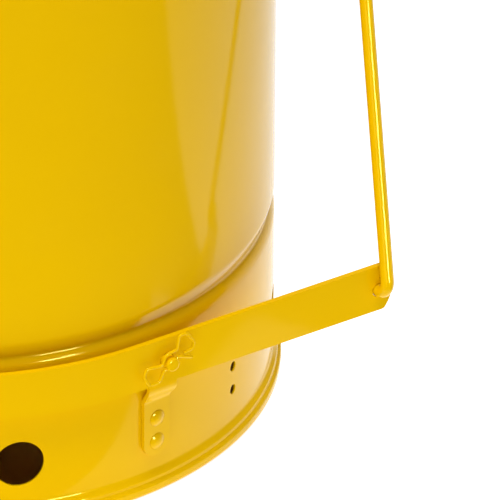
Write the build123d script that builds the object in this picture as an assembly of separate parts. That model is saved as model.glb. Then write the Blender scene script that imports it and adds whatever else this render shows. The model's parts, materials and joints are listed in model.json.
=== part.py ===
from build123d import *
import math
import os

# Foot-operated, self-closing oily waste can. Millimetres, +Z up. The origin is on the can's
# axis at the floor. The pedal is at -Y, the lid hinge at +Y, and +X is the right-hand side.

# Can shell
shell_radius = 147.3  # outside of the straight wall
shell_sheet = 0.9
bead_radius = 151.0  # outside of the rolled bottom bead
bead_height = 4.6
ledge_radius = 149.4  # outside of the small ledge above the bead
ledge_low = 5.4
ledge_high = 7.2
flare_height = 9.6  # where the wall starts to flare out to the ledge
rim_height = 376.0  # top of the rolled rim
rim_radius = 150.3
groove_foot = 79.0  # the rolled groove: a short steep side below, a long slack side above
groove_low = 83.8
groove_high = 85.2
groove_top = 92.5
groove_depth = 2.4
vent_count = 5
vent_radius = 11.25
vent_height = 30.7
first_vent_angle = -91.7
spare_hole_radius = 2.4
spare_hole_angle = 27.6  # from +X towards the rear
seam_angle = 122.0
seam_width = 6.0
seam_rise = 0.8

# Raised bottom pan
pan_sheet = 0.9
pan_floor = 90.4  # underside of the pan
pan_flange = 8.0

# Foot lever: a flat bar round the can, pivoted on both sides
front_angle = -90.0
strap_height = 22.9
strap_thickness = 2.4
strap_radius = 155.2  # mid-thickness, where the strap follows the wall
strap_bottom = 59.9
strap_rear = 135.6  # rear end of both arms
strap_end_radius = 17.1  # both arms end in a shallow arc
strap_corner = 2.0
strap_leave_angle = 40.0  # where the strap leaves the wall, ahead of the sides
nose_radius = 90.0
pivot_y = 16.0
pivot_z = 71.5
pivot_hole_radius = 3.5
rod_hole_radius = 3.35

# Pedal tread on the strap's nose
tread_sheet = 2.5
tread_width = 66.0
tread_reach = 24.0  # forward of the strap
tread_corner = 9.0
tread_drop = 20.0
tread_rivet_x = 19.0
tread_rivet_drop = 12.0  # below the strap's top edge

# Pivot brackets, studs and bow-tie cotters
bracket_width = 14.6
bracket_sheet = 2.0
bracket_bottom = 18.1
joggle_low = 47.0
joggle_high = 55.0
bracket_face_x = 153.6  # outside of the upper tab
bracket_rivet_heights = (25.4, 37.3)
rivet_head_radius = 4.0
rivet_head_rise = 1.3
rivet_shank_radius = 2.0
stud_radius = 3.25
stud_end_x = 162.2
stud_head_radius = 5.0
stud_head = 1.6
cotter_x = 160.0
cotter_wire_radius = 0.7
cotter_hole_radius = 0.9
cotter_angle = 35.0  # rise of the cotter towards the rear
cotter_reach = 13.8  # how far both loops reach from the stud's axis
cotter_loop = 8.4
cotter_waist = 3.0  # where the outer leg dips on both sides of the stud

# Lift rod: one round rod, bent into a bail
rod_radius = 3.0
rod_end_x = 151.6
rod_foot_x = 164.0
rod_foot_y = 128.4
rod_foot_z = 70.4
crossbar_x = 70.5
crossbar_y = 160.0
crossbar_z = 359.0
rod_foot_bend = 5.5
rod_top_bend = 14.0

# Lid
lid_sheet = 0.8
lid_radius = 153.4  # outside of the skirt
lid_skirt_bottom = 366.0
lid_brim_height = 377.0  # mid-sheet
lid_top = 403.0
lid_crown_radius = 125.0
lid_crown_edge = 389.0
lid_step_radius = 133.0

# Lid hinge
hinge_y = 183.0
hinge_z = 370.0
hinge_eye_radius = 7.0
hinge_pin_radius = 3.0
hinge_bore_radius = 3.05
body_ear_inside = 17.5
body_ear_sheet = 2.5
lid_ear_inside = 20.6
lid_ear_sheet = 2.0
slot_travel = 4.2  # how far the crossbar slides towards the hinge pin
slot_drift = 0.47  # width that the crossbar needs on each side beyond its own
slot_shift = 0.18
slot_clearance = 0.5
slot_land = 3.0
tongue_front = 136.0
tongue_sheet = 2.0
body_base_low = 318.0
body_base_high = 350.0
body_base_sheet = 2.0
body_rivet_x = 12.0
body_rivet_heights = (326.0, 342.0)
lid_rivet_x = 13.0
lid_rivet_y = 141.5
small_head_radius = 3.6
small_head_rise = 1.2
small_shank_radius = 1.8

rivet_tail = 0.8
rivet_clearance = 0.04


def radial(angle, height, radius):
    """The frame whose +X points straight out of the can at this angle and height."""
    return Pos(0, 0, height) * Rot(0, 0, angle) * Pos(radius, 0, 0)


def bar_along_x(radius, x_from, x_to, y, z):
    """A round bar parallel to X."""
    length = x_to - x_from
    return Pos((x_from + x_to) / 2, y, z) * Rot(0, 90, 0) * Cylinder(radius, length)


def plate_in_yz(face, x_from, x_to):
    """A flat plate whose outline is drawn as (y, z) and which fills x_from to x_to."""
    flat = Plane(origin=(x_from, 0, 0), x_dir=(0, 1, 0), z_dir=(1, 0, 0)) * face
    return extrude(flat, amount=x_to - x_from, dir=(1, 0, 0))


def turned_sheet(points, radii, sheet):
    """Sheet of one thickness turned round Z; its mid-line runs through (radius, height) points."""
    line = FilletPolyline(*points, radius=radii)
    section = make_face(offset(line, amount=sheet / 2, side=Side.BOTH))
    right_half = Pos(200, 250) * Rectangle(400, 600)
    return revolve(Plane.XZ * (section & right_half), Axis.Z, 360)


def ring_sector(inner, outer, low, high, half_width):
    """Part of a tube round Z, on the +Y side, between x = -half_width and half_width."""
    ring = Circle(outer) - Circle(inner)
    window = Pos(0, (inner + outer) / 2) * Rectangle(2 * half_width, outer)
    return extrude(Pos(0, 0, low) * (ring & window), amount=high - low)


def rivet(head_radius, head_rise, shank_radius, grip):
    """A domed rivet along X: its head stands on x = 0 and its shank runs inward to a flat tail."""
    dome_radius = (head_radius**2 + head_rise**2) / (2 * head_rise)
    half_way = head_rise - dome_radius + math.sqrt(dome_radius**2 - head_radius**2 / 4)
    tail_radius = 1.5 * shank_radius
    tail_end = -grip - rivet_tail
    outline = [
        ThreePointArc((head_radius, 0), (head_radius / 2, half_way), (0, head_rise)),
        Polyline(
            (0, head_rise),
            (0, tail_end),
            (tail_radius, tail_end),
            (tail_radius, -grip),
            (shank_radius, -grip),
            (shank_radius, 0),
            (head_radius, 0),
        ),
    ]
    upright = revolve(Plane.XZ * make_face(outline), Axis.Z, 360)
    return Rot(0, 90, 0) * upright


def can_body():
    mid = shell_radius - shell_sheet / 2
    half = shell_sheet / 2
    bead_mid = bead_radius - half
    ledge_mid = ledge_radius - half
    rim_mid = rim_radius - half
    groove_mid = mid - groove_depth
    curl_end = mid + 0.45
    points = [
        (curl_end, 3.2),
        (curl_end, half),
        (bead_mid, half),
        (bead_mid, bead_height - half),
        (ledge_mid, ledge_low),
        (ledge_mid, ledge_high),
        (mid, flare_height),
        (mid, groove_foot),
        (groove_mid, groove_low),
        (groove_mid, groove_high),
        (mid, groove_top),
        (mid, rim_height - half),
        (rim_mid, rim_height - half),
        (rim_mid, rim_height - 4.1),
        (mid + 1.35, rim_height - 4.1),
    ]
    radii = [0.9, 1.4, 1.2, 0.9, 1.2, 3.0, 3.0, 2.5, 3.0, 10.0, 1.3, 1.3, 0.8]
    shell = turned_sheet(points, radii, shell_sheet)

    seam = ring_sector(
        shell_radius - 0.3,
        shell_radius + seam_rise,
        groove_top + 2,
        rim_height - 6,
        seam_width / 2,
    )
    shell += Rot(0, 0, seam_angle - 90) * seam

    for i in range(vent_count):
        angle = first_vent_angle + 360 * i / vent_count
        shell -= radial(angle, vent_height, shell_radius) * Rot(0, 90, 0) * Cylinder(vent_radius, 20)
    for height in bracket_rivet_heights:
        for angle in (pivot_angle(), 180 - pivot_angle()):
            shell -= rivet_hole(angle, height, rivet_shank_radius)
        for angle in (spare_hole_angle, 180 - spare_hole_angle):
            shell -= rivet_hole(angle, height, spare_hole_radius)
    for height in body_rivet_heights:
        for side in (-1, 1):
            shell -= rivet_hole(90 + side * body_rivet_angle(), height, small_shank_radius)
    return shell


def pivot_angle():
    return math.degrees(math.asin(pivot_y / shell_radius))


def body_rivet_angle():
    return math.degrees(math.asin(body_rivet_x / shell_radius))


def rivet_drill(radius):
    """A drill along X for a rivet of this shank radius."""
    return Rot(0, 90, 0) * Cylinder(radius + rivet_clearance, 16)


def rivet_hole(angle, height, radius):
    return radial(angle, height, shell_radius) * rivet_drill(radius)


def bottom_pan():
    """A shallow dish that rests on the inside of the rolled groove."""
    half = pan_sheet / 2
    wall = shell_radius - shell_sheet - half - 0.02
    points = [(0, pan_floor + half), (wall, pan_floor + half), (wall, pan_floor + pan_flange)]
    return turned_sheet(points, [3.0], pan_sheet)


def pivot_bracket():
    """The right-hand joggled strip: riveted to the wall below, carrying the stud above."""
    half = bracket_width / 2
    foot = SlotCenterToCenter(joggle_low - bracket_bottom, bracket_width)
    foot = Pos(0, (joggle_low + bracket_bottom) / 2 + half) * Rot(0, 0, 90) * foot
    foot &= Pos(0, joggle_low / 2) * Rectangle(2 * bracket_width, joggle_low)
    foot = plate_in_yz(foot, 0, bracket_sheet)
    foot = radial(pivot_angle(), 0, shell_radius) * foot

    strip = Rectangle(bracket_sheet, bracket_width)
    low_end = radial(pivot_angle(), joggle_low, shell_radius + bracket_sheet / 2) * strip
    high_end = Pos(bracket_face_x - bracket_sheet / 2, pivot_y, joggle_high) * strip
    joggle = loft([low_end.face(), high_end.face()], ruled=True)

    head = Pos(pivot_y, (joggle_high + pivot_z) / 2) * Rectangle(bracket_width, pivot_z - joggle_high)
    head += Pos(pivot_y, pivot_z) * Circle(half)
    head = plate_in_yz(head, bracket_face_x - bracket_sheet, bracket_face_x)

    bracket = foot + joggle + head
    bracket -= bar_along_x(stud_radius + 0.02, 140, 160, pivot_y, pivot_z)
    for height in bracket_rivet_heights:
        bracket -= rivet_hole(pivot_angle(), height, rivet_shank_radius)
    return bracket


def bracket_rivets():
    place = shell_radius + bracket_sheet
    grip = bracket_sheet + shell_sheet + 0.1
    one = rivet(rivet_head_radius, rivet_head_rise, rivet_shank_radius, grip)
    return [radial(pivot_angle(), height, place) * one for height in bracket_rivet_heights]


def cotter_frame():
    """At the stud's axis: local X runs along the cotter, local Y across it, up and forward."""
    rise = math.radians(cotter_angle)
    along = (0, math.cos(rise), math.sin(rise))
    return Plane(origin=(cotter_x, pivot_y, pivot_z), x_dir=along, z_dir=(1, 0, 0))


def pivot_stud():
    inner_face = bracket_face_x - bracket_sheet
    stud = bar_along_x(stud_radius, inner_face - stud_head, stud_end_x, pivot_y, pivot_z)
    stud = chamfer(stud.edges().sort_by(Axis.X)[-1], 0.6)
    stud += bar_along_x(stud_head_radius, inner_face - stud_head, inner_face, pivot_y, pivot_z)
    stud -= cotter_frame() * Rot(0, 90, 0) * Cylinder(cotter_hole_radius, 12)
    return stud


def cotter():
    """Bow-tie cotter: one leg through the stud, one leg humped over it, a loop at each end."""
    points = [
        (8.9, -6.4),  # tip of the spread tail
        (4.3, 0),
        (-5.5, 0),
        (-9.3, -2.7),
        (-cotter_reach, 0.2),
        (-cotter_reach + 0.8, cotter_loop - 2.0),
        (-9.8, cotter_loop),
        (-3.9, cotter_waist),
        (0.8, cotter_waist + 2.9),
        (5.9, cotter_waist + 0.3),
        (10.9, cotter_loop),
        (cotter_reach + 0.2, cotter_loop - 2.4),
        (cotter_reach, -0.8),
        (11.2, -2.9),
        (7.1, -1.0),
    ]
    bends = [1.6, 3.0, 2.2, 2.2, 2.5, 2.0, 1.5, 3.0, 1.5, 1.8, 2.5, 2.0, 1.5]
    line = FilletPolyline(*points, radius=bends)
    start = Plane(origin=line @ 0, z_dir=line % 0)
    wire = sweep(start * Circle(cotter_wire_radius), path=line)
    return cotter_frame() * wire


def strap_outline(distance):
    """Plan view of everything inside the strap's line, moved out or in from mid-thickness."""
    leave = math.radians(strap_leave_angle)
    side = strap_radius + distance
    nose = nose_radius + distance
    nose_centre = (strap_radius - nose_radius) / math.sin(leave)
    # the strap's line touches the wall's arc and the nose's arc at these points
    arc_end = (side * math.cos(leave), -side * math.sin(leave))
    arc_middle = (side * math.cos(leave / 2), -side * math.sin(leave / 2))
    nose_end = (nose * math.cos(leave), -nose_centre - nose * math.sin(leave))
    tip = (0, -nose_centre - nose)
    right = [
        Line((side, strap_rear), (side, 0)),
        ThreePointArc((side, 0), arc_middle, arc_end),
        Line(arc_end, nose_end),
    ]
    nose_arc = ThreePointArc(nose_end, tip, (-nose_end[0], nose_end[1]))
    left = [mirror(edge, about=Plane.YZ) for edge in right]
    closing = Line((-side, strap_rear), (side, strap_rear))
    return make_face(right + [nose_arc] + left + [closing])


def nose_tip(distance):
    nose_centre = (strap_radius - nose_radius) / math.sin(math.radians(strap_leave_angle))
    return nose_centre + nose_radius + distance


def foot_lever():
    half = strap_thickness / 2
    reach = 2 * (strap_radius + strap_thickness)
    plan = strap_outline(half) - strap_outline(-half)
    strap = extrude(Pos(0, 0, strap_bottom) * plan, amount=strap_height)
    arc_place = Pos(strap_rear - strap_end_radius, strap_bottom + strap_height / 2)
    side_view = arc_place * Pos(-reach / 2, 0) * Rectangle(reach, 2 * strap_height)
    side_view += arc_place * Rot(0, 0, 180) * Circle(strap_end_radius)
    strap &= plate_in_yz(side_view, -reach, reach)
    rear_corners = strap.edges().filter_by(Axis.X).group_by(Axis.Y)[-1]
    strap = fillet(rear_corners, strap_corner)
    strap -= bar_along_x(pivot_hole_radius, -reach, reach, pivot_y, pivot_z)
    strap -= bar_along_x(rod_hole_radius, -reach, reach, rod_foot_y, rod_foot_z)
    for side in (-1, 1):
        strap -= nose_frame(side, nose_radius) * rivet_drill(small_shank_radius)
    return strap


def nose_frame(side, radius):
    """The frame whose +X points straight out of the nose's arc at a tread rivet."""
    nose_centre = nose_tip(0) - nose_radius
    turn = math.degrees(math.asin(tread_rivet_x / nose_radius))
    height = strap_bottom + strap_height - tread_rivet_drop
    return Pos(0, -nose_centre, height) * Rot(0, 0, front_angle + side * turn) * Pos(radius, 0, 0)


def pedal_tread():
    """An angle with its flange on the strap's nose and its tread reaching forward."""
    top = strap_bottom + strap_height
    skin = strap_thickness / 2
    flange = strap_outline(skin + tread_sheet) - strap_outline(skin)
    window = Pos(0, -nose_tip(0)) * Rectangle(tread_width, 40)
    flange = extrude(Pos(0, 0, top - tread_drop) * (flange & window), amount=tread_drop)

    front = nose_tip(skin) + tread_reach
    depth = tread_reach + 14
    tread = Pos(0, -front + depth / 2) * Rectangle(tread_width, depth)
    tread = fillet(tread.vertices().group_by(Axis.Y)[0], tread_corner)
    tread -= strap_outline(skin)
    tread = extrude(Pos(0, 0, top - tread_sheet) * tread, amount=tread_sheet)
    angle = flange + tread
    for side in (-1, 1):
        angle -= nose_frame(side, nose_radius) * rivet_drill(small_shank_radius)
    return angle


def pedal_rivets():
    """Rivets through the flange, with their heads on the front."""
    face = nose_radius + strap_thickness / 2 + tread_sheet
    grip = strap_thickness + tread_sheet + 0.1
    one = rivet(small_head_radius, small_head_rise, small_shank_radius, grip)
    return [nose_frame(side, face) * one for side in (-1, 1)]


def lift_rod():
    right = [
        (rod_end_x, rod_foot_y, rod_foot_z),
        (rod_foot_x, rod_foot_y, rod_foot_z),
        (crossbar_x, crossbar_y, crossbar_z),
    ]
    left = [(-x, y, z) for x, y, z in reversed(right)]
    bends = [rod_foot_bend, rod_top_bend, rod_top_bend, rod_foot_bend]
    line = FilletPolyline(*right, *left, radius=bends)
    start = Plane(origin=line @ 0, z_dir=line % 0)
    return sweep(start * Circle(rod_radius), path=line)


def lid():
    mid = lid_radius - lid_sheet / 2
    crown = lid_top - lid_sheet / 2
    points = [
        (0, crown),
        (60, crown),
        (lid_crown_radius, lid_crown_edge),
        (lid_step_radius, lid_brim_height),
        (mid, lid_brim_height),
        (mid, lid_skirt_bottom + lid_sheet / 2),
    ]
    dome = turned_sheet(points, [380.0, 10.0, 5.0, 3.0], lid_sheet)
    for side in (-1, 1):
        hole = Cylinder(small_shank_radius + rivet_clearance, 12)
        dome -= Pos(side * lid_rivet_x, lid_rivet_y, lid_brim_height) * hole
    return dome


def lid_hinge_bracket():
    """A strap riveted to the lid's brim, with two ears turned down behind the skirt."""
    brim = lid_brim_height + lid_sheet / 2
    outside = lid_ear_inside + lid_ear_sheet
    length = hinge_y - 15 - tongue_front
    tongue = Pos(0, tongue_front + length / 2) * Rectangle(2 * outside, length)
    tongue = fillet(tongue.vertices().group_by(Axis.Y)[0], 8)
    tongue = extrude(Pos(0, 0, brim) * tongue, amount=tongue_sheet)
    for side in (-1, 1):
        hole = Cylinder(small_shank_radius + rivet_clearance, 12)
        tongue -= Pos(side * lid_rivet_x, lid_rivet_y, brim) * hole

    ear_front = lid_radius + 1.6
    eye = Pos(hinge_y, hinge_z) * Circle(hinge_eye_radius)
    end = slot_place() * SlotOverall(
        slot_length() + 2 * slot_land, slot_width() + 2 * slot_land
    )
    # the web joins the tongue, the hinge eye and the slot's land
    web = make_face(
        Polyline(
            (ear_front, brim + tongue_sheet),
            (hinge_y - 15, brim + tongue_sheet),
            (hinge_y + 3.0, hinge_z + 6.3),
            (hinge_y + 2.0, hinge_z - 6.7),
            (crossbar_y + 6.4, crossbar_z - 3.6),
            (crossbar_y - 6.0, crossbar_z + 2.6),
            (ear_front, crossbar_z + 9),
            close=True,
        )
    )
    ear = eye + end + web
    ear -= Pos(hinge_y, hinge_z) * Circle(hinge_bore_radius)
    ear -= slot_place() * SlotOverall(slot_length(), slot_width())
    right = plate_in_yz(ear, lid_ear_inside, outside)
    left = plate_in_yz(ear, -outside, -lid_ear_inside)
    return tongue + right + left


def slot_place():
    """The slot's centre, with local X along the line from the crossbar to the hinge pin."""
    run = math.atan2(hinge_z - crossbar_z, hinge_y - crossbar_y)
    place = Pos(crossbar_y, crossbar_z) * Rot(0, 0, math.degrees(run))
    return place * Pos(slot_travel / 2, -slot_shift)


def slot_length():
    return 2 * (rod_radius + slot_clearance) + slot_travel


def slot_width():
    return 2 * (rod_radius + slot_clearance + slot_drift)


def lid_rivets():
    top = lid_brim_height + lid_sheet / 2 + tongue_sheet
    one = rivet(small_head_radius, small_head_rise, small_shank_radius, tongue_sheet + lid_sheet)
    return [Pos(side * lid_rivet_x, lid_rivet_y, top) * Rot(0, -90, 0) * one for side in (-1, 1)]


def body_hinge_bracket():
    """A curved base on the wall with two goose-necked ears that pass behind the crossbar."""
    outside = body_ear_inside + body_ear_sheet
    outer = shell_radius + body_base_sheet
    base = ring_sector(shell_radius, outer, body_base_low, body_base_high, outside)
    root = shell_radius - 0.5
    neck = make_face(
        Polyline(
            (root, body_base_low + 2),
            (root, body_base_high),
            (hinge_y - 15.5, hinge_z - 16.2),
            (hinge_y - 6.2, hinge_z + 3.2),
            (hinge_y + 6.2, hinge_z - 3.2),
            (hinge_y - 19, body_base_low + 10),
            close=True,
        )
    )
    ear = neck + Pos(hinge_y, hinge_z) * Circle(hinge_eye_radius)
    ear -= Pos(hinge_y, hinge_z) * Circle(hinge_bore_radius)
    right = plate_in_yz(ear, body_ear_inside, outside)
    left = plate_in_yz(ear, -outside, -body_ear_inside)
    wall = Pos(0, 0, (body_base_low + body_base_high) / 2) * Cylinder(shell_radius, 60)
    bracket = base + (right - wall) + (left - wall)
    for height in body_rivet_heights:
        for side in (-1, 1):
            bracket -= rivet_hole(90 + side * body_rivet_angle(), height, small_shank_radius)
    return bracket


def body_hinge_rivets():
    place = shell_radius + body_base_sheet
    grip = body_base_sheet + shell_sheet + 0.1
    one = rivet(small_head_radius, small_head_rise, small_shank_radius, grip)
    return [
        radial(90 + side * body_rivet_angle(), height, place) * one
        for height in body_rivet_heights
        for side in (-1, 1)
    ]


def hinge_pin():
    """Headed pin with a groove at its other end for the clip."""
    reach = lid_ear_inside + lid_ear_sheet
    pin = bar_along_x(hinge_pin_radius, -reach - 4.5, reach + 0.3, hinge_y, hinge_z)
    pin = chamfer(pin.edges().sort_by(Axis.X)[0], 0.5)
    head = bar_along_x(hinge_pin_radius + 2, reach + 0.3, reach + 2.5, hinge_y, hinge_z)
    head = fillet(head.edges().sort_by(Axis.X)[-1], 1.2)
    groove = bar_along_x(hinge_pin_radius + 1, -reach - 2.1, -reach - 0.9, hinge_y, hinge_z)
    groove -= bar_along_x(hinge_pin_radius - 0.6, -reach - 3, -reach, hinge_y, hinge_z)
    return pin + head - groove


def hinge_clip():
    """Open retaining ring in the pin's groove."""
    reach = lid_ear_inside + lid_ear_sheet
    outer = Circle(hinge_pin_radius + 2.2)
    mouth = Pos(0, -3) * Rectangle(3.2, 6)
    ring = outer - Circle(hinge_pin_radius - 0.55) - mouth
    ring = Pos(hinge_y, hinge_z) * ring
    return plate_in_yz(ring, -reach - 2.0, -reach - 1.0)


def solids_of(shape):
    """One compound of separate solids, from one shape or a list of shapes."""
    shapes = shape if isinstance(shape, list) else [shape]
    return Compound(children=[solid for item in shapes for solid in item.solids()])


def mirrored(shape):
    shapes = shape if isinstance(shape, list) else [shape]
    return [mirror(item, about=Plane.YZ) for item in shapes]


nodes = {
    "can_body": can_body(),
    "bottom_pan": bottom_pan(),
    "pivot_bracket_right": pivot_bracket(),
    "pivot_bracket_left": mirrored(pivot_bracket()),
    "bracket_rivets_right": bracket_rivets(),
    "bracket_rivets_left": mirrored(bracket_rivets()),
    "pivot_stud_right": pivot_stud(),
    "pivot_stud_left": mirrored(pivot_stud()),
    "cotter_right": cotter(),
    "cotter_left": mirrored(cotter()),
    "body_hinge_bracket": body_hinge_bracket(),
    "body_hinge_rivets": body_hinge_rivets(),
    "hinge_pin": hinge_pin(),
    "hinge_clip": hinge_clip(),
    "lid": lid(),
    "lid_hinge_bracket": lid_hinge_bracket(),
    "lid_rivets": lid_rivets(),
    "foot_lever": foot_lever(),
    "pedal_tread": pedal_tread(),
    "pedal_rivets": pedal_rivets(),
    "lift_rod": lift_rod(),
}

os.makedirs("parts", exist_ok=True)
for name, shape in nodes.items():
    export_step(solids_of(shape), f"parts/{name}.step")
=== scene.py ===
import json
import math

import bmesh
import bpy
from mathutils import Matrix, Quaternion, Vector


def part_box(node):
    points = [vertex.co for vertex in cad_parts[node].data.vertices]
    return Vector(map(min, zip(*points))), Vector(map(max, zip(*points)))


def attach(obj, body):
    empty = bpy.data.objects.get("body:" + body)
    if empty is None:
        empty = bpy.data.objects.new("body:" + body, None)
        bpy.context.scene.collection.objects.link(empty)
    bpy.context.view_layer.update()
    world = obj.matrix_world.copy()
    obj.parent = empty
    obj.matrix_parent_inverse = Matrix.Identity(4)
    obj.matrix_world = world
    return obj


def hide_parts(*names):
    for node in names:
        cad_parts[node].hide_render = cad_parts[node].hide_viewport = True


# Looks of a foot-operated oily waste can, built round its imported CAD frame. Metres, +Z up.
# The can's axis is Z, the pedal is at -Y, the lid hinge at +Y, and +X is the right-hand side.

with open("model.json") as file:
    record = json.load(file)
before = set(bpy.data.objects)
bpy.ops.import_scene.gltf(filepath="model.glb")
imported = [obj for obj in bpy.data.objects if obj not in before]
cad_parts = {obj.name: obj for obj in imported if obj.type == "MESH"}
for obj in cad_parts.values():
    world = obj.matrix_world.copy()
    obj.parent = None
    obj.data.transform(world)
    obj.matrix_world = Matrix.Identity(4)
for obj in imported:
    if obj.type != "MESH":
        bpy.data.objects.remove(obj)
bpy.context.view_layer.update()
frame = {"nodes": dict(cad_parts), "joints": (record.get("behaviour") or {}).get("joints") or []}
MM = 0.001

joint_place = {joint["name"]: Vector(joint["pos_m"]) for joint in frame["joints"]}
pivot = joint_place["lever_press"]
rod_foot = joint_place["rod_swing"]


# ---------------------------------------------------------------- camera

VIEW_AZIMUTH = math.radians(57.8)
VIEW_ELEVATION = math.radians(31.54)
VIEW_ROLL = math.radians(-0.38)
VIEW_DISTANCE = 5.405
VIEW_LENS = 864.0  # mm, on a 36 mm sensor
AIM_RIGHT = 0.1373  # the picture's middle, from the can's axis at the floor
AIM_UP = 0.0453
right_way = Vector((math.cos(VIEW_AZIMUTH), math.sin(VIEW_AZIMUTH), 0))
front_way = Vector((math.sin(VIEW_AZIMUTH), -math.cos(VIEW_AZIMUTH), 0))


def make_camera():
    """A long lens that looks down on the lower right of the can."""
    flat = math.cos(VIEW_ELEVATION)
    back = Vector((math.sin(VIEW_AZIMUTH) * flat, -math.cos(VIEW_AZIMUTH) * flat, 0))
    back.z = math.sin(VIEW_ELEVATION)
    up = back.cross(right_way)
    data = bpy.data.cameras.new("camera")
    data.lens = VIEW_LENS
    data.sensor_width = 36
    camera = bpy.data.objects.new("camera", data)
    bpy.context.scene.collection.objects.link(camera)
    camera.location = back * VIEW_DISTANCE
    level = Matrix((right_way, up, back)).transposed().to_quaternion()
    aim = right_way * AIM_RIGHT + up * AIM_UP - camera.location
    turn = (-back).rotation_difference(aim)
    camera.rotation_mode = "QUATERNION"
    camera.rotation_quaternion = turn @ level @ Quaternion((0, 0, 1), VIEW_ROLL)
    bpy.context.scene.camera = camera


make_camera()


# ---------------------------------------------------------------- outlines and paths

def rounded_path(points, radii, step=math.radians(9)):
    """The path through these points, with each inner corner turned into an arc of its radius."""
    corners = [Vector(point) for point in points]
    path = [corners[0]]
    for before, corner, after, radius in zip(corners, corners[1:], corners[2:], radii):
        come = (corner - before).normalized()
        leave = (after - corner).normalized()
        turn = come.angle(leave)
        count = max(2, math.ceil(turn / step))
        centre = corner + (leave - come).normalized() * (radius / math.cos(turn / 2))
        spoke = corner - come * (radius * math.tan(turn / 2)) - centre
        for i in range(count + 1):
            angle = turn * i / count
            path.append(centre + spoke * math.cos(angle) + come * (radius * math.sin(angle)))
    path.append(corners[-1])
    return path


def split_runs(path, longest, top):
    """The same path with its runs below this height split into short ones."""
    result = [path[0]]
    for start, end in zip(path, path[1:]):
        parts = 1
        if max(start.z, end.z) < top:
            parts = max(1, math.ceil((end - start).length / longest))
        result += [start.lerp(end, (i + 1) / parts) for i in range(parts)]
    return result


def steps(first, last, count):
    """Evenly spaced numbers, both ends included."""
    return [first + (last - first) * i / count for i in range(count + 1)]


# ---------------------------------------------------------------- mesh building

def add_skin(mesh, rows, closed=False):
    """Quads between rows of points. A closed skin joins each row's last point to its first."""
    grid = [[mesh.verts.new(point) for point in row] for row in rows]
    for low, high in zip(grid, grid[1:]):
        for i in range(0 if closed else 1, len(low)):
            mesh.faces.new((low[i - 1], low[i], high[i], high[i - 1]))
    return grid


def cut_hole(mesh, centre, axis, radius, margin, settle=lambda point: point):
    """A round hole in a skin, ringed with faces that lie on the skin."""
    across = axis.orthogonal().normalized()
    along = axis.cross(across)

    def flat(point):
        return Vector(((point - centre).dot(across), (point - centre).dot(along)))

    near = [f for f in mesh.faces if (f.calc_center_median() - centre).length < radius + margin]
    verts = {vert for face in near for vert in face.verts}
    bmesh.ops.delete(mesh, geom=near, context="FACES")
    rim = [vert for vert in verts if vert.is_valid]
    rim.sort(key=lambda vert: math.atan2(flat(vert.co).y, flat(vert.co).x))
    count = len(rim)
    turn = 2 * math.pi / count
    angles = [math.atan2(flat(vert.co).y, flat(vert.co).x) for vert in rim]
    lead = sum(angle - k * turn for k, angle in enumerate(angles)) / count

    def circle_point(k, size):
        angle = lead + k * turn
        return Vector((math.cos(angle), math.sin(angle))) * size

    def settled(point):
        return mesh.verts.new(settle(centre + across * point.x + along * point.y))

    start = [flat(vert.co) for vert in rim]
    ring = rim
    for share in (0.4, 0.75):
        inner = [settled(start[k].lerp(circle_point(k, radius), share)) for k in range(count)]
        for k in range(count):
            mesh.faces.new((ring[k - 1], ring[k], inner[k], inner[k - 1]))
        ring = inner
    edge = [settled(circle_point(k / 2, radius)) for k in range(2 * count)]
    for k in range(count):
        mesh.faces.new((ring[k - 1], ring[k], edge[2 * k], edge[2 * k - 1], edge[2 * k - 2]))


def add_turned(mesh, profile, place, sides=48):
    """A solid turned round its own X axis; the profile runs from one end of the axis to the other."""
    rows = []
    for along, radius in profile:
        turns = steps(0, 2 * math.pi, sides)[:-1]
        row = [Vector((along, radius * math.cos(a), radius * math.sin(a))) for a in turns]
        rows.append([place @ point for point in row])
    grid = add_skin(mesh, rows, closed=True)
    bmesh.ops.remove_doubles(mesh, verts=grid[0] + grid[-1], dist=1e-6)


def add_tube(mesh, path, radius, sides=28, end_round=0.35):
    """A round bar along a path, with its ends softly rounded."""
    ends = end_round * radius
    start = path[0] + (path[1] - path[0]).normalized() * ends
    stop = path[-1] + (path[-2] - path[-1]).normalized() * ends
    points = [path[0], start] + path[1:-1] + [stop, path[-1]]
    sizes = [1 - end_round] + [1] * (len(points) - 2) + [1 - end_round]
    tangent = (points[1] - points[0]).normalized()
    side = tangent.orthogonal().normalized()
    rows = []
    for i, point in enumerate(points):
        ahead = points[min(i + 1, len(points) - 1)] - points[max(i - 1, 0)]
        turned = tangent.rotation_difference(ahead)
        side = (turned @ side).normalized()
        tangent = ahead.normalized()
        up = tangent.cross(side)
        turns = steps(0, 2 * math.pi, sides)[:-1]
        size = radius * sizes[i]
        rows.append([point + (side * math.cos(a) + up * math.sin(a)) * size for a in turns])
    grid = add_skin(mesh, rows, closed=True)
    mesh.faces.new(reversed(grid[0]))
    mesh.faces.new(grid[-1])


def mirror_x(mesh):
    """The same mesh on the can's other side."""
    bmesh.ops.scale(mesh, vec=(-1, 1, 1), verts=mesh.verts)
    bmesh.ops.reverse_faces(mesh, faces=mesh.faces)


def finish_piece(name, mesh, body, slot, nodes, sheet=0, rounding=0, segments=3, offset=0):
    """Turns a bmesh into a shaded piece that rides on its body and stands for its CAD nodes."""
    bmesh.ops.recalc_face_normals(mesh, faces=mesh.faces)
    data = bpy.data.meshes.new(name)
    mesh.to_mesh(data)
    mesh.free()
    data.shade_smooth()
    piece = bpy.data.objects.new(name, data)
    bpy.context.scene.collection.objects.link(piece)
    data.materials.append(materials[slot])
    if sheet:
        solid = piece.modifiers.new("sheet", "SOLIDIFY")
        solid.thickness = sheet
        solid.offset = offset
        solid.use_even_offset = True
    soften(piece, rounding, segments)
    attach(piece, body)
    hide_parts(*nodes)
    return piece


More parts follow.
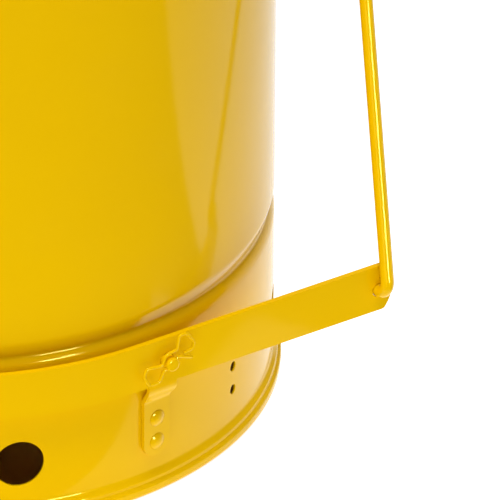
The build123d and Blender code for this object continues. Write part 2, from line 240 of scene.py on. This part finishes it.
def soften(piece, rounding, segments=3):
    """Rounds the sharp edges and shades the flat faces flat."""
    if rounding:
        bevel = piece.modifiers.new("edges", "BEVEL")
        bevel.width = rounding
        bevel.segments = segments
        bevel.limit_method = "ANGLE"
        bevel.angle_limit = math.radians(40)
        bevel.use_clamp_overlap = True
    shade = piece.modifiers.new("shade", "WEIGHTED_NORMAL")
    shade.mode = "FACE_AREA"
    shade.weight = 50
    shade.keep_sharp = False


def carry_over(node, slot, rounding):
    """Keeps a CAD node, with its edges rounded and its own finish."""
    piece = frame["nodes"][node]
    weld = piece.modifiers.new("weld", "WELD")
    weld.merge_threshold = 1e-6
    soften(piece, rounding)
    piece.data.materials.clear()
    piece.data.materials.append(materials[slot])


# ---------------------------------------------------------------- enamel

YELLOW = (0.800, 0.480, 0.000, 1)
DEEP_YELLOW = (0.785, 0.462, 0.000, 1)
GLOSS_TINT = (1.0, 0.9, 0.2, 1)


def enamel(slot, seed, peel=0.03, rough_low=0.08, rough_high=0.13):
    """Glossy yellow powder coat: slow changes of tone, orange peel and a slightly uneven gloss."""
    material = bpy.data.materials.new(slot)
    material.use_nodes = True
    tree = material.node_tree
    nodes = tree.nodes
    shader = nodes["Principled BSDF"]
    shader.inputs["IOR"].default_value = 1.3
    shader.inputs["Specular Tint"].default_value = GLOSS_TINT
    place = nodes.new("ShaderNodeTexCoord")

    def noise(scale, detail, w):
        texture = nodes.new("ShaderNodeTexNoise")
        texture.noise_dimensions = "4D"
        texture.inputs["Scale"].default_value = scale
        texture.inputs["Detail"].default_value = detail
        texture.inputs["W"].default_value = w
        tree.links.new(place.outputs["Object"], texture.inputs["Vector"])
        return texture.outputs["Fac"]

    tone = nodes.new("ShaderNodeMix")
    tone.data_type = "RGBA"
    tone.inputs["A"].default_value = DEEP_YELLOW
    tone.inputs["B"].default_value = YELLOW
    spread = nodes.new("ShaderNodeMapRange")
    spread.inputs["From Min"].default_value = 0.3
    spread.inputs["From Max"].default_value = 0.7
    tree.links.new(noise(9, 3, seed), spread.inputs["Value"])
    tree.links.new(spread.outputs["Result"], tone.inputs["Factor"])
    tree.links.new(tone.outputs["Result"], shader.inputs["Base Color"])

    gloss = nodes.new("ShaderNodeMapRange")
    gloss.inputs["From Min"].default_value = 0.3
    gloss.inputs["From Max"].default_value = 0.7
    gloss.inputs["To Min"].default_value = rough_low
    gloss.inputs["To Max"].default_value = rough_high
    tree.links.new(noise(40, 4, seed + 3), gloss.inputs["Value"])
    tree.links.new(gloss.outputs["Result"], shader.inputs["Roughness"])

    bump = nodes.new("ShaderNodeBump")
    bump.inputs["Strength"].default_value = peel
    bump.inputs["Distance"].default_value = 0.0004
    tree.links.new(noise(260, 1.5, seed + 7), bump.inputs["Height"])
    tree.links.new(bump.outputs["Normal"], shader.inputs["Normal"])
    return material


materials = {
    "shell_enamel": enamel("shell_enamel", 0.0),
    "lid_enamel": enamel("lid_enamel", 1.1),
    "lever_enamel": enamel("lever_enamel", 2.3),
    "rod_enamel": enamel("rod_enamel", 3.7),
    "bracket_enamel": enamel("bracket_enamel", 4.9),
    "hardware_enamel": enamel("hardware_enamel", 6.1),
}


# ---------------------------------------------------------------- can shell and pan

shell_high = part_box("can_body")[1]
SHELL_SHEET = 0.9 * MM
bead_radius = shell_high.x
wall_radius = bead_radius - 3.7 * MM
rim_radius = bead_radius - 0.7 * MM
rim_top = shell_high.z
BEAD_HEIGHT = 4.6 * MM
LEDGE_RADIUS = 149.4 * MM
LEDGE_LOW = 5.4 * MM
LEDGE_HIGH = 7.2 * MM
FLARE_HEIGHT = 9.6 * MM
GROOVE_FOOT = 80.0 * MM
GROOVE_LOW = 83.8 * MM
GROOVE_HIGH = 85.2 * MM
GROOVE_TOP = 92.5 * MM
GROOVE_DEPTH = 2.4 * MM
VENT_RADIUS = 11.25 * MM
VENT_HEIGHT = 30.7 * MM
FIRST_VENT = math.radians(-91.7)
SPARE_HOLE_RADIUS = 2.4 * MM
wall_mid = wall_radius - SHELL_SHEET / 2
pivot_angle = math.asin(pivot.y / wall_radius)
spare_angle = math.radians(27.6)
rivet_low, rivet_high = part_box("bracket_rivets_right")
RIVET_HEAD = 4.0 * MM
rivet_heights = (rivet_low.z + RIVET_HEAD, rivet_high.z - RIVET_HEAD)


def turned_rows(profile, columns=320):
    """Rows of points made by turning a profile of (radius, 0, height) round Z."""
    turns = steps(0, 2 * math.pi, columns)[:-1]
    return [[Vector((p.x * math.cos(a), p.x * math.sin(a), p.z)) for a in turns] for p in profile]


def outward(angle):
    return Vector((math.cos(angle), math.sin(angle), 0))


def onto_wall(point):
    """The point moved straight out or in to the middle of the wall's sheet."""
    scale = wall_mid / math.hypot(point.x, point.y)
    return Vector((point.x * scale, point.y * scale, point.z))


def make_shell():
    half = SHELL_SHEET / 2
    bead_mid = bead_radius - half
    rim_mid = rim_radius - half
    ledge_mid = LEDGE_RADIUS - half
    groove_mid = wall_mid - GROOVE_DEPTH
    curl = wall_mid + 0.45 * MM
    points = [
        (curl, 0, 3.2 * MM),
        (curl, 0, half),
        (bead_mid, 0, half),
        (bead_mid, 0, BEAD_HEIGHT - half),
        (ledge_mid, 0, LEDGE_LOW),
        (ledge_mid, 0, LEDGE_HIGH),
        (wall_mid, 0, FLARE_HEIGHT),
        (wall_mid, 0, GROOVE_FOOT),
        (groove_mid, 0, GROOVE_LOW),
        (groove_mid, 0, GROOVE_HIGH),
        (wall_mid, 0, GROOVE_TOP),
        (wall_mid, 0, rim_top - half),
        (rim_mid, 0, rim_top - half),
        (rim_mid, 0, rim_top - 4.1 * MM),
        (wall_mid + 1.35 * MM, 0, rim_top - 4.1 * MM),
    ]
    bends = (0.9, 1.4, 1.2, 0.9, 1.2, 3, 10, 2.5, 3, 10, 1.3, 1.3, 0.8)
    radii = [r * MM for r in bends]
    profile = split_runs(rounded_path(points, radii), 2.5 * MM, GROOVE_FOOT)
    mesh = bmesh.new()
    add_skin(mesh, turned_rows(profile), closed=True)
    for i in range(5):
        axis = outward(FIRST_VENT + math.radians(72 * i))
        centre = axis * wall_mid + Vector((0, 0, VENT_HEIGHT))
        cut_hole(mesh, centre, axis, VENT_RADIUS, 4 * MM, onto_wall)
    for angle in (spare_angle, math.pi - spare_angle):
        for height in rivet_heights:
            centre = outward(angle) * wall_mid + Vector((0, 0, height))
            cut_hole(mesh, centre, outward(angle), SPARE_HOLE_RADIUS, 1.8 * MM, onto_wall)
    finish_piece(
        "can_shell", mesh, "can", "shell_enamel", ["can_body"], SHELL_SHEET, 0.18 * MM, 2
    )


def make_seam():
    """The lapped side seam: a slim raised strip down the back of the wall."""
    turn = math.radians(122)
    half_turn = 3.0 * MM / wall_radius
    heights = steps(GROOVE_TOP + 2 * MM, rim_top - 6 * MM, 60)
    angles = steps(turn - half_turn, turn + half_turn, 4)
    mesh = bmesh.new()
    rows = [[outward(a) * (wall_radius + 0.3 * MM) + Vector((0, 0, z)) for a in angles] for z in heights]
    add_skin(mesh, rows)
    finish_piece("side_seam", mesh, "can", "shell_enamel", [], 1.0 * MM, 0.35 * MM)


def make_pan():
    pan_low, pan_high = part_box("bottom_pan")
    half = 0.45 * MM
    edge = pan_high.x - half
    points = [(0, 0, pan_low.z + half), (edge, 0, pan_low.z + half), (edge, 0, pan_high.z)]
    profile = rounded_path(points, [3 * MM])
    profile = [profile[0].lerp(profile[1], i / 6) for i in range(6)] + profile[1:]
    mesh = bmesh.new()
    grid = add_skin(mesh, turned_rows(profile, 180), closed=True)
    bmesh.ops.remove_doubles(mesh, verts=grid[0], dist=1e-6)
    finish_piece("raised_pan", mesh, "can", "shell_enamel", ["bottom_pan"], 2 * half, 0.2 * MM, 2)


# ---------------------------------------------------------------- pivot brackets and hardware

BRACKET_HALF = 7.3 * MM
BRACKET_SHEET = 2.0 * MM
JOGGLE_LOW = 47 * MM
JOGGLE_HIGH = 55 * MM
bracket_low, bracket_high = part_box("pivot_bracket_right")
stud_low, stud_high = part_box("pivot_stud_right")
strap_low, strap_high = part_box("foot_lever")
STRAP_SHEET = 2.4 * MM
STUD_RADIUS = 3.25 * MM


def smooth_step(value):
    value = min(1, max(0, value))
    return value * value * (3 - 2 * value)


def bracket_point(height, aside):
    """Mid-sheet of the joggled strip: on the wall below, in the upright plane above."""
    lean = outward(pivot_angle)
    level = Vector((-lean.y, lean.x, 0))
    low = lean * (wall_radius + BRACKET_SHEET / 2) + level * aside
    high = Vector((bracket_high.x - BRACKET_SHEET / 2, pivot.y + aside, 0))
    share = (height - JOGGLE_LOW) / (JOGGLE_HIGH - JOGGLE_LOW)
    soft = 0.5 * smooth_step(share) + 0.5 * min(1, max(0, share))
    return low.lerp(high, soft) + Vector((0, 0, height))


def make_bracket(side, name):
    arc = steps(math.radians(8), math.radians(90), 10)
    foot = [(bracket_low.z + BRACKET_HALF * (1 - math.cos(a)), math.sin(a)) for a in arc]
    head = [(bracket_high.z - BRACKET_HALF * (1 - math.cos(a)), math.sin(a)) for a in reversed(arc)]
    rise = steps(foot[-1][0], head[0][0], 40)[1:-1]
    mesh = bmesh.new()
    rows = []
    for height, width in foot + [(z, 1) for z in rise] + head:
        row = [bracket_point(height, BRACKET_HALF * width * i / 5) for i in range(-5, 6)]
        rows.append(row)
    add_skin(mesh, rows)
    if side < 0:
        mirror_x(mesh)
    nodes = ["pivot_bracket_" + name]
    finish_piece(
        "joggled_bracket_" + name, mesh, "can", "bracket_enamel", nodes, BRACKET_SHEET, 0.45 * MM
    )


def rivet_profile(head_radius, rise, tail_radius, grip):
    """From the tail's end, along the shank, to the top of a domed head with a soft edge."""
    dome = (head_radius**2 + rise**2) / (2 * rise)
    half_angle = math.asin(head_radius / dome)
    tail_end = -grip - 0.8 * MM
    shank = tail_radius / 1.5
    points = [(tail_end, 0), (tail_end, tail_radius - 0.2 * MM), (tail_end + 0.2 * MM, tail_radius)]
    points += [(-grip, tail_radius), (-grip, shank), (0, shank), (0, head_radius - 0.15 * MM)]
    arc = steps(half_angle, 0, 10)
    points += [(0.12 * MM, head_radius)]
    points += [(rise - dome + dome * math.cos(a), dome * math.sin(a)) for a in arc[1:]]
    return points


def facing(point, direction):
    """A frame at the point whose X axis looks along the direction."""
    return Matrix.Translation(point) @ direction.to_track_quat("X", "Z").to_matrix().to_4x4()


def make_bracket_rivets(side, name):
    grip = BRACKET_SHEET + SHELL_SHEET + 0.1 * MM
    profile = rivet_profile(RIVET_HEAD, 1.3 * MM, 3.0 * MM, grip)
    mesh = bmesh.new()
    for height in rivet_heights:
        out = outward(pivot_angle)
        point = out * (wall_radius + BRACKET_SHEET) + Vector((0, 0, height))
        add_turned(mesh, profile, facing(point, out))
    if side < 0:
        mirror_x(mesh)
    nodes = ["bracket_rivets_" + name]
    finish_piece("joggle_rivets_" + name, mesh, "can", "hardware_enamel", nodes)


def make_stud(side, name):
    head = stud_low.x + 1.6 * MM
    head_radius = stud_high.z - pivot.z
    profile = [
        (stud_low.x, 0),
        (stud_low.x, head_radius - 0.4 * MM),
        (stud_low.x + 0.4 * MM, head_radius),
        (head, head_radius),
        (head, STUD_RADIUS),
        (stud_high.x - 0.9 * MM, STUD_RADIUS),
        (stud_high.x - 0.45 * MM, STUD_RADIUS - 0.12 * MM),
        (stud_high.x - 0.12 * MM, STUD_RADIUS - 0.45 * MM),
        (stud_high.x, STUD_RADIUS - 0.95 * MM),
        (stud_high.x, 0),
    ]
    mesh = bmesh.new()
    add_turned(mesh, profile, Matrix.Translation((0, pivot.y, pivot.z)))
    if side < 0:
        mirror_x(mesh)
    nodes = ["pivot_stud_" + name]
    finish_piece("side_stud_" + name, mesh, "can", "hardware_enamel", nodes)


COTTER_RISE = math.radians(35)
COTTER_WIRE = 0.7 * MM
COTTER_REACH = 13.8  # mm, how far both loops reach from the stud's axis
COTTER_LOOP = 8.4
COTTER_WAIST = 3.0
cotter_x = (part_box("cotter_right")[0].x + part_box("cotter_right")[1].x) / 2


def make_cotter(side, name):
    """Bow-tie cotter: one leg through the stud, one leg humped over it, a loop at each end."""
    flat = [
        (8.9, -6.4),
        (4.3, 0),
        (-5.5, 0),
        (-9.3, -2.7),
        (-COTTER_REACH, 0.2),
        (-COTTER_REACH + 0.8, COTTER_LOOP - 2.0),
        (-9.8, COTTER_LOOP),
        (-3.9, COTTER_WAIST),
        (0.8, COTTER_WAIST + 2.9),
        (5.9, COTTER_WAIST + 0.3),
        (10.9, COTTER_LOOP),
        (COTTER_REACH + 0.2, COTTER_LOOP - 2.4),
        (COTTER_REACH, -0.8),
        (11.2, -2.9),
        (7.1, -1.0),
    ]
    radii = [r * MM for r in (1.6, 3, 2.2, 2.2, 2.5, 2, 1.5, 3, 1.5, 1.8, 2.5, 2, 1.5)]
    along = Vector((0, math.cos(COTTER_RISE), math.sin(COTTER_RISE)))
    across = Vector((0, -along.z, along.y))
    centre = Vector((cotter_x, pivot.y, pivot.z))
    points = [centre + (along * u + across * v) * MM for u, v in flat]
    mesh = bmesh.new()
    add_tube(mesh, rounded_path(points, radii), COTTER_WIRE, 20)
    if side < 0:
        mirror_x(mesh)
    nodes = ["cotter_" + name]
    finish_piece("bow_tie_cotter_" + name, mesh, "can", "hardware_enamel", nodes)


# ---------------------------------------------------------------- lever, tread and rod

strap_radius = strap_high.x - STRAP_SHEET / 2
strap_middle = (strap_low.z + strap_high.z) / 2
strap_half = (strap_high.z - strap_low.z) / 2
strap_rear = strap_high.y
LEAVE_ANGLE = math.radians(40)
NOSE_RADIUS = 90 * MM
END_RADIUS = 17.1 * MM
END_CORNER = 2.0 * MM
END_START = 108 * MM
nose_centre = (strap_radius - NOSE_RADIUS) / math.sin(LEAVE_ANGLE)


def strap_end():
    """The strap's end seen from the side, bottom to top: a shallow arc with soft corners."""
    reach = END_RADIUS - END_CORNER
    lift = strap_half - END_CORNER
    swing = math.asin(lift / reach)
    arc_centre = strap_rear - END_RADIUS
    arc = [swing * i / 4 for i in range(-4, 5)]
    outline = [(arc_centre + END_RADIUS * math.cos(a), END_RADIUS * math.sin(a)) for a in arc]
    for turn in (swing / 2 + math.radians(45), math.radians(90)):
        y = arc_centre + reach * math.cos(swing) + END_CORNER * math.cos(turn)
        z = lift + END_CORNER * math.sin(turn)
        outline = [(y, -z)] + outline + [(y, z)]
    return [Vector((strap_radius, y, strap_middle + z)) for y, z in outline]


def strap_column(x, y):
    return [Vector((x, y, strap_middle + strap_half * i / 6)) for i in range(-6, 7)]


def strap_columns():
    """Columns of points along the strap's mid-line, from the right rear end to the nose."""
    root = strap_column(strap_radius, END_START)
    tip = strap_end()
    columns = []
    for share in steps(1, 0, 13):
        columns.append([low.lerp(high, share) for low, high in zip(root, tip)])
    for y in steps(END_START, 0, 42)[1:]:
        columns.append(strap_column(strap_radius, y))
    for angle in steps(0, LEAVE_ANGLE, 24)[1:]:
        x = strap_radius * math.cos(angle)
        columns.append(strap_column(x, -strap_radius * math.sin(angle)))
    for angle in steps(LEAVE_ANGLE, math.radians(90), 30):
        x = NOSE_RADIUS * math.cos(angle)
        columns.append(strap_column(x, -nose_centre - NOSE_RADIUS * math.sin(angle)))
    return columns


def make_strap():
    right = strap_columns()
    left = [[Vector((-p.x, p.y, p.z)) for p in column] for column in reversed(right[:-1])]
    mesh = bmesh.new()
    add_skin(mesh, right + left)
    sideways = Vector((1, 0, 0))
    for x in (strap_radius, -strap_radius):
        pivot_hole = Vector((x, pivot.y, pivot.z))
        cut_hole(mesh, pivot_hole, sideways, 3.5 * MM, 2.0 * MM)
        rod_hole = Vector((x, rod_foot.y, rod_foot.z))
        cut_hole(mesh, rod_hole, sideways, 3.35 * MM, 1.6 * MM)
    finish_piece(
        "lever_strap", mesh, "lever", "lever_enamel", ["foot_lever"], STRAP_SHEET, 0.5 * MM, 4
    )


def make_tread():
    """A bent angle: its flange lies on the strap's nose and its tread reaches forward."""
    low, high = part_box("pedal_tread")
    sheet = 2.5 * MM
    corner = 9 * MM
    bend = 3.2 * MM
    top = high.z - sheet / 2
    radius = NOSE_RADIUS + (STRAP_SHEET + sheet) / 2
    inner = high.x - corner
    side = [inner + corner * math.sin(a) for a in steps(0, math.radians(90), 8)]
    middle = steps(0, inner, 8)[:-1]
    right = middle + side
    mesh = bmesh.new()
    rows = []
    for x in [-x for x in reversed(right[1:])] + right:
        face = -nose_centre - math.sqrt(radius**2 - x**2)
        out = max(0, abs(x) - inner)
        front = low.y + corner - math.sqrt(max(0, corner**2 - out**2))
        row = [Vector((x, face, z)) for z in steps(low.z, top - bend, 6)]
        for angle in steps(0, math.radians(90), 8)[1:]:
            y = face - bend + bend * math.cos(angle)
            row.append(Vector((x, y, top - bend + bend * math.sin(angle))))
        row += [Vector((x, y, top)) for y in steps(face - bend, front, 6)[1:]]
        rows.append(row)
    add_skin(mesh, rows)
    finish_piece("foot_tread", mesh, "lever", "lever_enamel", ["pedal_tread"], sheet, 0.5 * MM)


def make_tread_rivets():
    low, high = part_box("pedal_rivets")
    head = 3.6 * MM
    height = (low.z + high.z) / 2
    sheets = STRAP_SHEET + 2.5 * MM
    profile = rivet_profile(head, 1.2 * MM, 2.7 * MM, sheets + 0.1 * MM)
    turn = math.asin(19 * MM / NOSE_RADIUS)
    mesh = bmesh.new()
    for side in (-1, 1):
        out = outward(-math.pi / 2 + side * turn)
        reach = NOSE_RADIUS - STRAP_SHEET / 2 + sheets
        point = Vector((0, -nose_centre, height)) + out * reach
        add_turned(mesh, profile, facing(point, out))
    finish_piece("tread_rivets", mesh, "lever", "hardware_enamel", ["pedal_rivets"])


ROD_RADIUS = 3.0 * MM
ROD_END = 151.6 * MM
ROD_FOOT = 164.0 * MM
CROSSBAR_END = Vector((70.5, 160, 359)) * MM


def make_rod():
    right = [
        Vector((ROD_END, rod_foot.y, rod_foot.z)),
        Vector((ROD_FOOT, rod_foot.y, rod_foot.z)),
        CROSSBAR_END,
    ]
    left = [Vector((-point.x, point.y, point.z)) for point in reversed(right)]
    bends = [r * MM for r in (5.5, 14, 14, 5.5)]
    mesh = bmesh.new()
    add_tube(mesh, rounded_path(right + left, bends, math.radians(5)), ROD_RADIUS, 40, 0.2)
    finish_piece("lift_bail", mesh, "rod", "rod_enamel", ["lift_rod"])


# ---------------------------------------------------------------- lid

def make_lid():
    low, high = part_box("lid")
    sheet = 0.8 * MM
    mid = high.x - sheet / 2
    crown = high.z - sheet / 2
    points = [
        (0, 0, crown),
        (60 * MM, 0, crown),
        (125 * MM, 0, 389 * MM),
        (133 * MM, 0, 377 * MM),
        (mid, 0, 377 * MM),
        (mid, 0, low.z),
    ]
    radii = [r * MM for r in (380, 10, 5, 3)]
    profile = rounded_path(points, radii, math.radians(3))
    profile = [profile[0].lerp(profile[1], i / 4) for i in range(4)] + profile[1:]
    mesh = bmesh.new()
    grid = add_skin(mesh, turned_rows(profile), closed=True)
    bmesh.ops.remove_doubles(mesh, verts=grid[0], dist=1e-6)
    finish_piece("domed_lid", mesh, "lid", "lid_enamel", ["lid"], sheet, 0.2 * MM, 2)


def make_all():
    make_shell()
    make_seam()
    make_pan()
    for side, name in ((1, "right"), (-1, "left")):
        make_bracket(side, name)
        make_bracket_rivets(side, name)
        make_stud(side, name)
        make_cotter(side, name)
    make_strap()
    make_tread()
    make_tread_rivets()
    make_rod()
    make_lid()
    carry_over("body_hinge_bracket", "bracket_enamel", 0.4 * MM)
    carry_over("lid_hinge_bracket", "bracket_enamel", 0.4 * MM)
    carry_over("body_hinge_rivets", "hardware_enamel", 0)
    carry_over("lid_rivets", "hardware_enamel", 0)
    carry_over("hinge_pin", "hardware_enamel", 0)
    carry_over("hinge_clip", "hardware_enamel", 0.2 * MM)


make_all()


# ---------------------------------------------------------------- floor and light

PALE_FLOOR = (0.62, 0.62, 0.62, 1)
PAINTED_BOUNCE_UNDER_CAN = (1.0, 0.58, 0.14, 1)  # painted bounce light: the warm light the yellow enamel above throws on the floor under the can
BLACK_CLOTH = (0.03, 0.03, 0.03, 1)
FLOOR_SIZE = 60
GLOW_NEAR = 0.98  # painted light: the floor's glow, strongest at the bead where it washes out the can's shadow on the floor, easing to the far value over the reach
GLOW_FAR = 0.45
GLOW_REACH = 400 * MM
FLAG_LIFT = 0.3 * MM
FLAG_NEAR = 0.152  # the cloth starts this far in front of the can's axis
FLAG_SIDE = 0.253  # and reaches nearer only beyond this, to the right
FLAG_FAR = 3.0
FLAG_START = 0.152  # its slanted edge runs from here, rising by the slope
FLAG_SLOPE = 0.451
WORLD_LIGHT = 0.22


def make_floor():
    """A pale floor, bright enough to meet the white background without a line. It glows as painted
    light, most beside the can, where it washes out the can's shadow.
    """
    bpy.ops.mesh.primitive_grid_add(size=FLOOR_SIZE, x_subdivisions=4, y_subdivisions=4)
    floor = bpy.context.object
    floor.name = "floor"
    material = bpy.data.materials.new("floor")
    material.use_nodes = True
    tree = material.node_tree
    shader = tree.nodes["Principled BSDF"]
    shader.inputs["Roughness"].default_value = 0.9
    shader.inputs["Specular IOR Level"].default_value = 0.0
    place = tree.nodes.new("ShaderNodeTexCoord")
    length = tree.nodes.new("ShaderNodeVectorMath")
    length.operation = "LENGTH"
    tree.links.new(place.outputs["Object"], length.inputs[0])

    def ramp(near, far, first, last):
        """A value that changes from first to last between two distances from the can's axis."""
        node = tree.nodes.new("ShaderNodeMapRange")
        node.inputs["From Min"].default_value = near
        node.inputs["From Max"].default_value = far
        node.inputs["To Min"].default_value = first
        node.inputs["To Max"].default_value = last
        tree.links.new(length.outputs["Value"], node.inputs["Value"])
        return node.outputs["Result"]

    outside = ramp(bead_radius - 2 * MM, bead_radius, 0, 1)
    # Under the can the floor is painted a warm tone, as painted bounce light from the enamel above it.
    paint = tree.nodes.new("ShaderNodeMix")
    paint.data_type = "RGBA"
    paint.inputs["A"].default_value = PAINTED_BOUNCE_UNDER_CAN
    paint.inputs["B"].default_value = PALE_FLOOR
    tree.links.new(outside, paint.inputs["Factor"])
    tree.links.new(paint.outputs["Result"], shader.inputs["Base Color"])
    # Painted light: the floor glows most near the can to cancel the can's shadow there, and does not
    # glow under the can.
    easing = ramp(bead_radius, bead_radius + GLOW_REACH, GLOW_NEAR, GLOW_FAR)
    glow = tree.nodes.new("ShaderNodeMath")
    glow.operation = "MULTIPLY"
    tree.links.new(outside, glow.inputs[0])
    tree.links.new(easing, glow.inputs[1])
    shader.inputs["Emission Color"].default_value = (1, 1, 1, 1)
    tree.links.new(glow.outputs["Value"], shader.inputs["Emission Strength"])
    floor.data.materials.append(material)


def make_flag():
    """A black cloth in front of the can, seen only in gloss: it darkens what the enamel reflects."""
    side_edge = FLAG_SLOPE * (FLAG_SIDE - FLAG_START)
    far_edge = FLAG_SLOPE * (FLAG_FAR - FLAG_START)
    outline = [
        (FLAG_SIDE, side_edge),
        (FLAG_FAR, far_edge),
        (FLAG_FAR, FLAG_FAR),
        (-FLAG_FAR, FLAG_FAR),
        (-FLAG_FAR, FLAG_NEAR),
        (FLAG_SIDE, FLAG_NEAR),
    ]
    mesh = bmesh.new()
    rise = Vector((0, 0, FLAG_LIFT))
    mesh.faces.new([mesh.verts.new(right_way * u + front_way * v + rise) for u, v in outline])
    data = bpy.data.meshes.new("flag")
    mesh.to_mesh(data)
    mesh.free()
    cloth = bpy.data.materials.new("black_cloth")
    cloth.use_nodes = True
    shader = cloth.node_tree.nodes["Principled BSDF"]
    shader.inputs["Base Color"].default_value = BLACK_CLOTH
    shader.inputs["Roughness"].default_value = 1
    data.materials.append(cloth)
    flag = bpy.data.objects.new("flag", data)
    bpy.context.scene.collection.objects.link(flag)
    flag.visible_camera = False
    flag.visible_diffuse = False
    flag.visible_transmission = False
    flag.visible_shadow = False


def make_world():
    world = bpy.data.worlds.new("studio")
    world.use_nodes = True
    background = world.node_tree.nodes["Background"]
    background.inputs["Color"].default_value = (1, 1, 1, 1)
    background.inputs["Strength"].default_value = WORLD_LIGHT
    bpy.context.scene.world = world


def make_softbox(name, azimuth, elevation, distance, width, height, power):
    """An area light aimed at the can's middle."""
    data = bpy.data.lights.new(name, "AREA")
    data.shape = "RECTANGLE"
    data.size = width
    data.size_y = height
    data.energy = power
    light = bpy.data.objects.new(name, data)
    bpy.context.scene.collection.objects.link(light)
    a = math.radians(azimuth)
    e = math.radians(elevation)
    back = Vector((math.sin(a) * math.cos(e), -math.cos(a) * math.cos(e), math.sin(e)))
    light.location = back * distance + Vector((0, 0, rim_top / 2))
    light.rotation_mode = "QUATERNION"
    light.rotation_quaternion = back.to_track_quat("Z", "Y")
    return light


make_floor()
make_flag()
make_world()
make_softbox("top", 60, 75, 1.8, 1.0, 1.0, 36)
make_softbox("front", 48, 10, 2.5, 1.2, 1.0, 10)
streak = make_softbox("streak", 94, 4, 2.0, 0.45, 0.5, 60)
streak.visible_diffuse = False  # it only draws the thin highlight on the groove and the bead
bpy.context.scene.view_settings.view_transform = "Standard"
